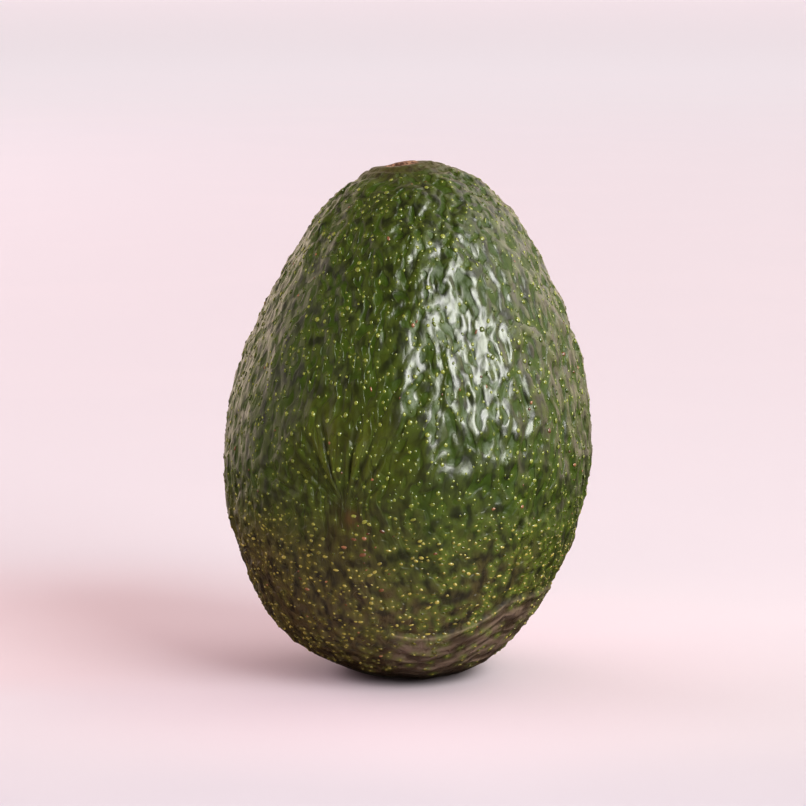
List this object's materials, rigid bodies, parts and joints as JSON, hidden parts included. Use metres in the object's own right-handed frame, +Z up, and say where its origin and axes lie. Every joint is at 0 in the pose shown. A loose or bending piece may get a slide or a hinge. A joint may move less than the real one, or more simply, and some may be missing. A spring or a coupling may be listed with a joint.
{
  "type": "avocado",
  "caption": "Whole ripe-green avocado, egg-shaped with pebbled, folded skin, standing on its broad end, with a stem scar on top and a blossom scar low on the front.",
  "frame": {"origin": "on the surface that the fruit stands on, under the middle of its bounding box", "axes": "+Z up along the fruit towards the stem scar, the blossom scar towards -Y, a little to -X"},
  "size_m": [0.0714, 0.0706, 0.1],
  "materials": {
    "skin": "dark green pebbled skin with a waxy gloss"
  },
  "bodies": {
    "root": {"avocado": "skin"}
  },
  "joints": []
}
